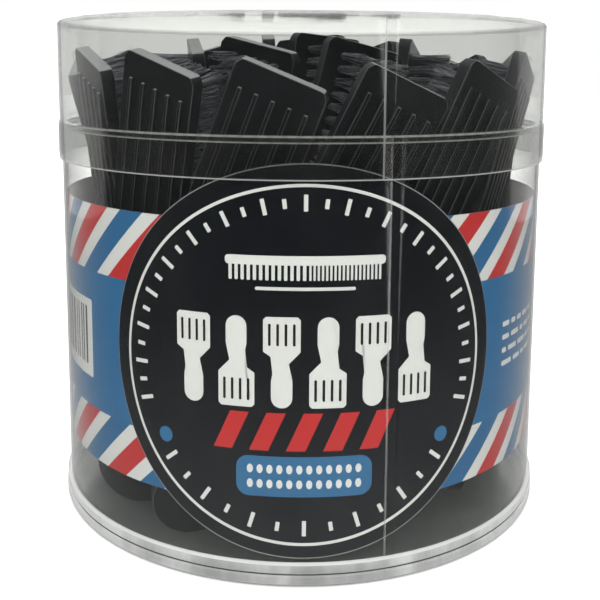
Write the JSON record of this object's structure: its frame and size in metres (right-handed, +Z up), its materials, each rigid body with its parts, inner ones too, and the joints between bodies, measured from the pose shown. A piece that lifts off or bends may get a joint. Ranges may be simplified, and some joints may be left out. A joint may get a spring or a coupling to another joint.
{
  "type": "fade brush",
  "caption": "Flat-headed barber fade brushes with ribbed backs and nylon tufts, standing in a clear counter jar with a printed sleeve and a lift-off lid.",
  "frame": {"origin": "middle of the jar's foot ring, on the surface it stands on", "axes": "+Z up along the jar's axis; -Y is the front, where the round label panel faces"},
  "size_m": [0.1605, 0.1606, 0.1542],
  "materials": {
    "base_plastic": "translucent pale grey moulded plastic",
    "clear_sheet": "clear rolled sheet, glossy",
    "band_print": "blue print with red, white and blue stripes",
    "panel_print": "black print with a white ring",
    "handle_plastic": "satin black moulded plastic",
    "bristle_nylon": "black nylon filaments"
  },
  "bodies": {
    "jar": {"base_cap": "base_plastic", "tube": "clear_sheet", "mouth_bead": "clear_sheet", "label_band": "band_print", "label_panel": "panel_print"},
    "lid": {"lid_wall": "clear_sheet", "lid_top": "clear_sheet"},
    "brush_01": {"brush_01_handle": "handle_plastic", "brush_01_bristles": "bristle_nylon"},
    "brush_02": {"brush_02_handle": "handle_plastic", "brush_02_bristles": "bristle_nylon"},
    "brush_03": {"brush_03_handle": "handle_plastic", "brush_03_bristles": "bristle_nylon"},
    "brush_04": {"brush_04_handle": "handle_plastic", "brush_04_bristles": "bristle_nylon"},
    "brush_05": {"brush_05_handle": "handle_plastic", "brush_05_bristles": "bristle_nylon"},
    "brush_06": {"brush_06_handle": "handle_plastic", "brush_06_bristles": "bristle_nylon"},
    "brush_07": {"brush_07_handle": "handle_plastic", "brush_07_bristles": "bristle_nylon"},
    "brush_08": {"brush_08_handle": "handle_plastic", "brush_08_bristles": "bristle_nylon"},
    "brush_09": {"brush_09_handle": "handle_plastic", "brush_09_bristles": "bristle_nylon"},
    "brush_10": {"brush_10_handle": "handle_plastic", "brush_10_bristles": "bristle_nylon"},
    "brush_11": {"brush_11_handle": "handle_plastic", "brush_11_bristles": "bristle_nylon"},
    "brush_12": {"brush_12_handle": "handle_plastic", "brush_12_bristles": "bristle_nylon"},
    "brush_13": {"brush_13_handle": "handle_plastic", "brush_13_bristles": "bristle_nylon"},
    "brush_14": {"brush_14_handle": "handle_plastic", "brush_14_bristles": "bristle_nylon"},
    "brush_15": {"brush_15_handle": "handle_plastic", "brush_15_bristles": "bristle_nylon"},
    "brush_16": {"brush_16_handle": "handle_plastic", "brush_16_bristles": "bristle_nylon"},
    "brush_17": {"brush_17_handle": "handle_plastic", "brush_17_bristles": "bristle_nylon"},
    "brush_18": {"brush_18_handle": "handle_plastic", "brush_18_bristles": "bristle_nylon"},
    "brush_19": {"brush_19_handle": "handle_plastic", "brush_19_bristles": "bristle_nylon"},
    "brush_20": {"brush_20_handle": "handle_plastic", "brush_20_bristles": "bristle_nylon"},
    "brush_21": {"brush_21_handle": "handle_plastic", "brush_21_bristles": "bristle_nylon"},
    "brush_22": {"brush_22_handle": "handle_plastic", "brush_22_bristles": "bristle_nylon"},
    "brush_23": {"brush_23_handle": "handle_plastic", "brush_23_bristles": "bristle_nylon"},
    "brush_24": {"brush_24_handle": "handle_plastic", "brush_24_bristles": "bristle_nylon"}
  },
  "joints": [
    {"name": "lid_lift", "type": "slide", "parent": "jar", "child": "lid", "axis": [0, 0, 1], "range_m": [0, 0.07]},
    {"name": "brush_01_slide", "type": "slide", "parent": "jar", "child": "brush_01", "axis": [-0.0183, -0.3468, 0.9377], "range_m": [0, 0.0025]},
    {"name": "brush_02_slide", "type": "slide", "parent": "jar", "child": "brush_02", "axis": [0.1581, -0.3366, 0.9283], "range_m": [0, 0.0025]},
    {"name": "brush_03_slide", "type": "slide", "parent": "jar", "child": "brush_03", "axis": [0.3451, -0.2422, 0.9068], "range_m": [0, 0.0025]},
    {"name": "brush_04_slide", "type": "slide", "parent": "jar", "child": "brush_04", "axis": [0.4426, -0.0595, 0.8947], "range_m": [0, 0.0025]},
    {"name": "brush_05_slide", "type": "slide", "parent": "jar", "child": "brush_05", "axis": [0.4046, 0.1188, 0.9068], "range_m": [0, 0.0025]},
    {"name": "brush_06_slide", "type": "slide", "parent": "jar", "child": "brush_06", "axis": [0.293, 0.229, 0.9283], "range_m": [0, 0.0025]},
    {"name": "brush_07_slide", "type": "slide", "parent": "jar", "child": "brush_07", "axis": [0.167, 0.3045, 0.9377], "range_m": [0, 0.0025]},
    {"name": "brush_08_slide", "type": "slide", "parent": "jar", "child": "brush_08", "axis": [0.0036, 0.3719, 0.9283], "range_m": [0, 0.0025]},
    {"name": "brush_09_slide", "type": "slide", "parent": "jar", "child": "brush_09", "axis": [-0.2059, 0.368, 0.9068], "range_m": [0, 0.0025]},
    {"name": "brush_10_slide", "type": "slide", "parent": "jar", "child": "brush_10", "axis": [-0.373, 0.2456, 0.8947], "range_m": [0, 0.0025]},
    {"name": "brush_11_slide", "type": "slide", "parent": "jar", "child": "brush_11", "axis": [-0.4161, 0.0685, 0.9068], "range_m": [0, 0.0025]},
    {"name": "brush_12_slide", "type": "slide", "parent": "jar", "child": "brush_12", "axis": [-0.3633, -0.0792, 0.9283], "range_m": [0, 0.0025]},
    {"name": "brush_13_slide", "type": "slide", "parent": "jar", "child": "brush_13", "axis": [-0.2826, -0.2019, 0.9377], "range_m": [0, 0.0025]},
    {"name": "brush_14_slide", "type": "slide", "parent": "jar", "child": "brush_14", "axis": [-0.1646, -0.3335, 0.9283], "range_m": [0, 0.0025]},
    {"name": "brush_15_slide", "type": "slide", "parent": "jar", "child": "brush_15", "axis": [0.1556, -0.1833, 0.9707], "range_m": [0, 0.002]},
    {"name": "brush_16_slide", "type": "slide", "parent": "jar", "child": "brush_16", "axis": [0.2403, 0.0073, 0.9707], "range_m": [0, 0.002]},
    {"name": "brush_17_slide", "type": "slide", "parent": "jar", "child": "brush_17", "axis": [0.1441, 0.1925, 0.9707], "range_m": [0, 0.002]},
    {"name": "brush_18_slide", "type": "slide", "parent": "jar", "child": "brush_18", "axis": [-0.0606, 0.2327, 0.9707], "range_m": [0, 0.002]},
    {"name": "brush_19_slide", "type": "slide", "parent": "jar", "child": "brush_19", "axis": [-0.2197, 0.0977, 0.9707], "range_m": [0, 0.002]},
    {"name": "brush_20_slide", "type": "slide", "parent": "jar", "child": "brush_20", "axis": [-0.2134, -0.1109, 0.9707], "range_m": [0, 0.002]},
    {"name": "brush_21_slide", "type": "slide", "parent": "jar", "child": "brush_21", "axis": [-0.0463, -0.2359, 0.9707], "range_m": [0, 0.002]},
    {"name": "brush_22_slide", "type": "slide", "parent": "jar", "child": "brush_22", "axis": [0.092, 0.0183, 0.9956], "range_m": [0, 0.0008]},
    {"name": "brush_23_slide", "type": "slide", "parent": "jar", "child": "brush_23", "axis": [-0.0619, 0.0705, 0.9956], "range_m": [0, 0.0008]},
    {"name": "brush_24_slide", "type": "slide", "parent": "jar", "child": "brush_24", "axis": [-0.0302, -0.0889, 0.9956], "range_m": [0, 0.0008]}
  ]
}
